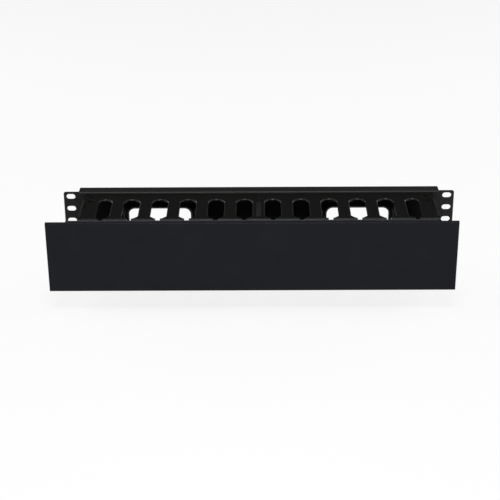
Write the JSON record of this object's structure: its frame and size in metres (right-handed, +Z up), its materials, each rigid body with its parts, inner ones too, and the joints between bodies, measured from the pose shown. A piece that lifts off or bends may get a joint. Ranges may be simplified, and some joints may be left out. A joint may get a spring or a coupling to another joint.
{
  "type": "horizontal cable manager",
  "caption": "Rack-wide cable duct on a slotted steel panel, with T-ended fingers above and below, pass-through openings and a hinged front cover.",
  "frame": {"origin": "centre of the panel's rear mounting face, midway between the rack slots", "axes": "+Z up, +Y back into the rack, +X to the right seen from the front"},
  "size_m": [0.4906, 0.1152, 0.0882],
  "materials": {
    "powder_coat": "fine textured black powder coat",
    "duct_plastic": "moulded satin black plastic",
    "cover_plastic": "fine-grained satin black plastic",
    "screw_steel": "black zinc"
  },
  "bodies": {
    "base": {"rear_panel": "powder_coat", "duct_left": "duct_plastic", "duct_right": "duct_plastic", "duct_screw_1": "screw_steel", "duct_screw_2": "screw_steel", "duct_screw_3": "screw_steel", "duct_screw_4": "screw_steel", "duct_screw_5": "screw_steel", "duct_screw_6": "screw_steel", "duct_screw_7": "screw_steel", "duct_screw_8": "screw_steel"},
    "cover": {"front_cover": "cover_plastic"}
  },
  "joints": [
    {"name": "cover_hinge", "type": "hinge", "parent": "base", "child": "cover", "pos_m": [0, -0.0735, -0.0356], "axis": [1, 0, 0], "range_deg": [0, 95]}
  ]
}
